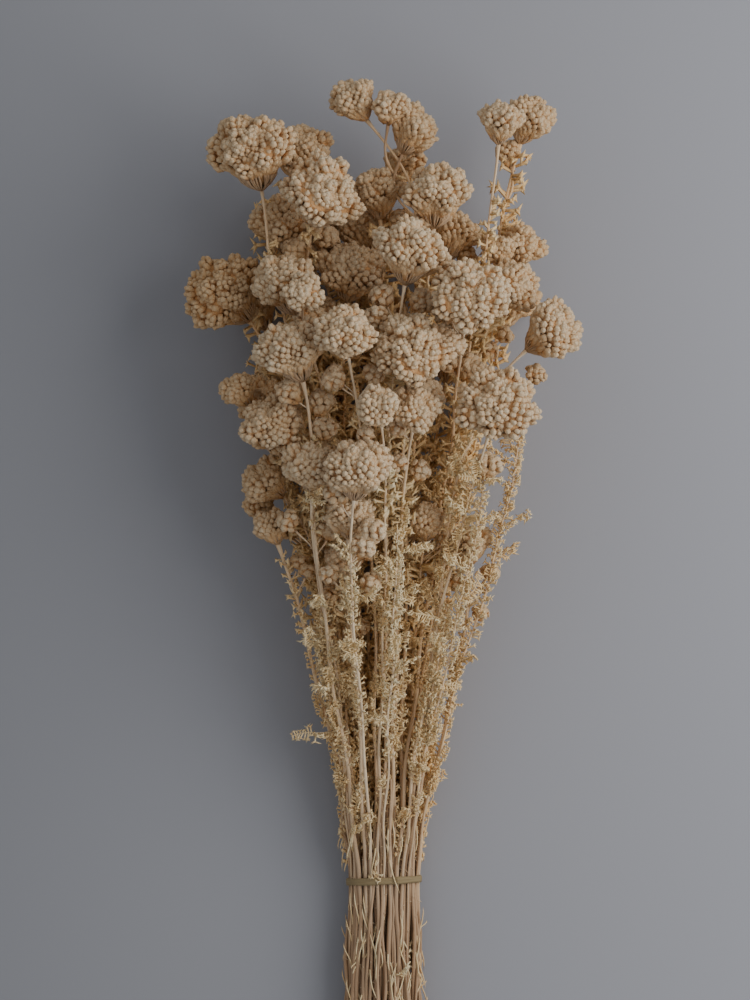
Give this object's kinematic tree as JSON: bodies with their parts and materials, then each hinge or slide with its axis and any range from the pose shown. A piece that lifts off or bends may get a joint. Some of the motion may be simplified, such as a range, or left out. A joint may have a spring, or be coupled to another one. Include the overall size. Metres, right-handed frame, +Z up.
{
  "type": "preserved yarrow bunch",
  "caption": "Tied bunch of preserved yarrow lying down: domed cream flower heads on long round stems with feathery leaves, for dried flower arranging.",
  "frame": {"origin": "middle of the base of the whole lying bunch, on the surface that it rests on", "axes": "+Y along the stems from the cut ends to the flower heads, +X to the right seen from above with the heads away, +Z up from the surface"},
  "size_m": [0.241, 0.6064, 0.1553],
  "materials": {
    "florets": "matt, bleached and dried",
    "stems": "matt straw",
    "leaves": "matt, papery",
    "tie": "matt raffia"
  },
  "bodies": {
    "root": {"flower_centre_back": "florets", "flower_centre_large": "florets", "flower_centre_left": "florets", "flower_centre_low": "florets", "flower_centre_low_right": "florets", "flower_far_right": "florets", "flower_far_right_inner": "florets", "flower_left_edge": "florets", "flower_left_low": "florets", "flower_left_low_inner": "florets", "flower_left_middle": "florets", "flower_left_side": "florets", "flower_low_left_edge": "florets", "flower_low_pale": "florets", "flower_low_right": "florets", "flower_lowest_left": "florets", "flower_middle_back": "florets", "flower_outer_left": "florets", "flower_outer_right": "florets", "flower_right_large": "florets", "flower_right_low_large": "florets", "flower_right_pair": "florets", "flower_right_small": "florets", "flower_stems_left": "florets", "flower_stems_pale": "florets", "flower_stems_right": "florets", "flower_top_left": "florets", "flower_top_left_back": "florets", "flower_top_left_inner": "florets", "flower_top_left_low": "florets", "flower_topmost": "florets", "flower_topmost_back": "florets", "flower_under_centre": "florets", "flower_under_far_left": "florets", "flower_under_far_right": "florets", "flower_under_left": "florets", "flower_under_low": "florets", "flower_under_right": "florets", "flower_under_top_left": "florets", "flower_under_top_right": "florets", "flower_upper_middle": "florets", "flower_upper_middle_back": "florets", "flower_upper_pale": "florets", "shoot_centre": "leaves", "shoot_left_low": "leaves", "shoot_right_inner": "leaves", "shoot_right_low": "leaves", "shoot_right_outer": "leaves", "shoot_under": "leaves", "tie": "tie"}
  },
  "joints": []
}
